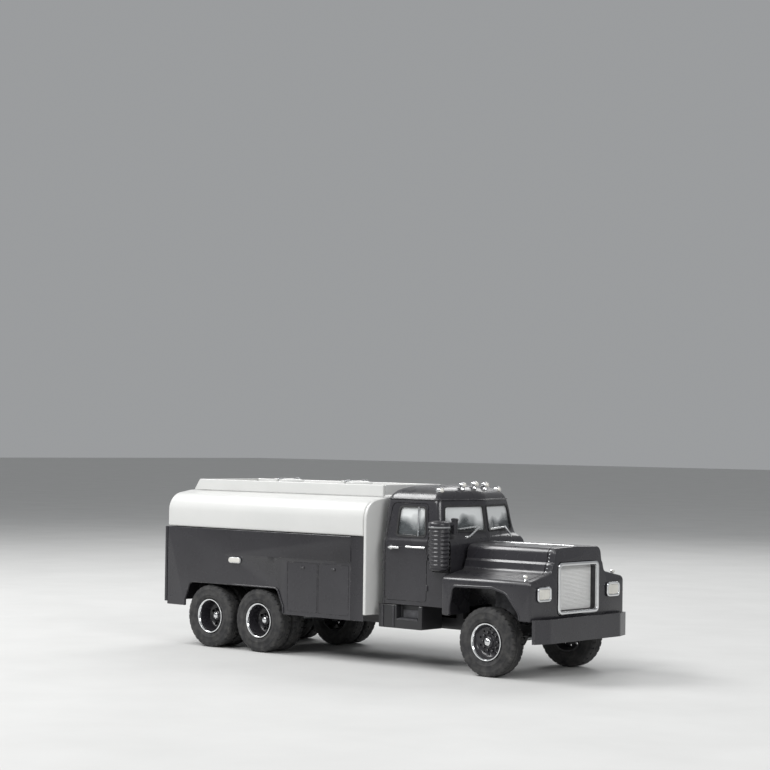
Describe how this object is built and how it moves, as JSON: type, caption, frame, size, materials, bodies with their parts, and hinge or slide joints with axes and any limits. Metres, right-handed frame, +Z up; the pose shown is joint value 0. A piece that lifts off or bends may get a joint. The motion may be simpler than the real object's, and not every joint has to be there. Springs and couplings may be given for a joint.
{
  "type": "toy tanker truck",
  "caption": "Toy tandem-axle tanker truck with turning wheels, a tilting hood and hinged manway lids on a raised tank top.",
  "frame": {"origin": "centre of the truck's footprint, on the surface that the tyres stand on", "axes": "+X forward, +Y to the truck's own left, +Z up"},
  "size_m": [0.24, 0.0738, 0.0859],
  "materials": {
    "charcoal_paint": "semi-gloss",
    "white_paint": "semi-gloss",
    "chassis_black": "satin",
    "chrome": "polished",
    "wheel": "polished",
    "steel": "turned",
    "tyre": "matte",
    "window": "clear",
    "interior_plastic": "moulded",
    "black_plastic": "moulded",
    "lamp_lens": "gloss",
    "red_lens": "gloss",
    "engine_metal": "cast",
    "lid_metal": "satin"
  },
  "bodies": {
    "truck": {"chassis_frame": "chassis_black", "front_bumper": "charcoal_paint", "hood_hinge_pin": "steel", "cab_shell": "charcoal_paint", "windshield_left": "window", "windshield_right": "window", "side_window_left": "window", "side_window_right": "window", "rear_window": "window", "cab_interior": "interior_plastic", "steering_wheel": "black_plastic", "marker_lamp_1": "chrome", "marker_lamp_2": "chrome", "marker_lamp_3": "chrome", "marker_lamp_4": "chrome", "marker_lamp_5": "chrome", "wiper_right": "chrome", "wiper_left": "chrome", "door_handle_left": "chrome", "door_handle_right": "chrome", "side_step_left": "chassis_black", "side_step_right": "chassis_black", "air_cleaner": "chassis_black", "engine": "engine_metal", "tank_top": "white_paint", "front_bulkhead": "white_paint", "body_floor": "chassis_black", "rear_panel": "charcoal_paint", "coaming_front": "white_paint", "coaming_rear": "white_paint", "coaming_left": "white_paint", "coaming_right": "white_paint", "side_skirt_left": "charcoal_paint", "side_skirt_right": "charcoal_paint", "side_marker_left": "lamp_lens", "side_marker_right": "lamp_lens", "tail_lamp_left": "red_lens", "tail_lamp_right": "red_lens"},
    "front_wheelset": {"front_axle": "steel", "front_wheel_left": "wheel", "front_wheel_right": "wheel", "front_tyre_left": "tyre", "front_tyre_right": "tyre"},
    "mid_wheelset": {"mid_axle": "steel", "mid_wheel_left": "wheel", "mid_wheel_right": "wheel", "mid_tyre_left": "tyre", "mid_tyre_right": "tyre"},
    "rear_wheelset": {"rear_axle": "steel", "rear_wheel_left": "wheel", "rear_wheel_right": "wheel", "rear_tyre_left": "tyre", "rear_tyre_right": "tyre"},
    "hood": {"hood_shell": "charcoal_paint", "grille_frame": "chrome", "grille_mesh": "chrome", "headlight_left": "chrome", "headlight_right": "chrome"},
    "front_lid": {"manway_lid_front": "lid_metal"},
    "rear_lid": {"manway_lid_rear": "lid_metal"}
  },
  "joints": [
    {"name": "front_axle_turn", "type": "hinge", "parent": "truck", "child": "front_wheelset", "pos_m": [0.09, 0, 0.0155], "axis": [0, 1, 0], "continuous": true},
    {"name": "mid_axle_turn", "type": "hinge", "parent": "truck", "child": "mid_wheelset", "pos_m": [-0.0506, 0, 0.0155], "axis": [0, 1, 0], "continuous": true},
    {"name": "rear_axle_turn", "type": "hinge", "parent": "truck", "child": "rear_wheelset", "pos_m": [-0.0847, 0, 0.0155], "axis": [0, 1, 0], "continuous": true},
    {"name": "hood_tilt", "type": "hinge", "parent": "truck", "child": "hood", "pos_m": [0.1094, 0, 0.03], "axis": [0, 1, 0], "range_deg": [0, 45]},
    {"name": "front_lid_swing", "type": "hinge", "parent": "truck", "child": "front_lid", "pos_m": [-0.0254, 0, 0.08365], "axis": [0, -1, 0], "range_deg": [0, 105]},
    {"name": "rear_lid_swing", "type": "hinge", "parent": "truck", "child": "rear_lid", "pos_m": [-0.0714, 0, 0.08365], "axis": [0, -1, 0], "range_deg": [0, 105]}
  ]
}
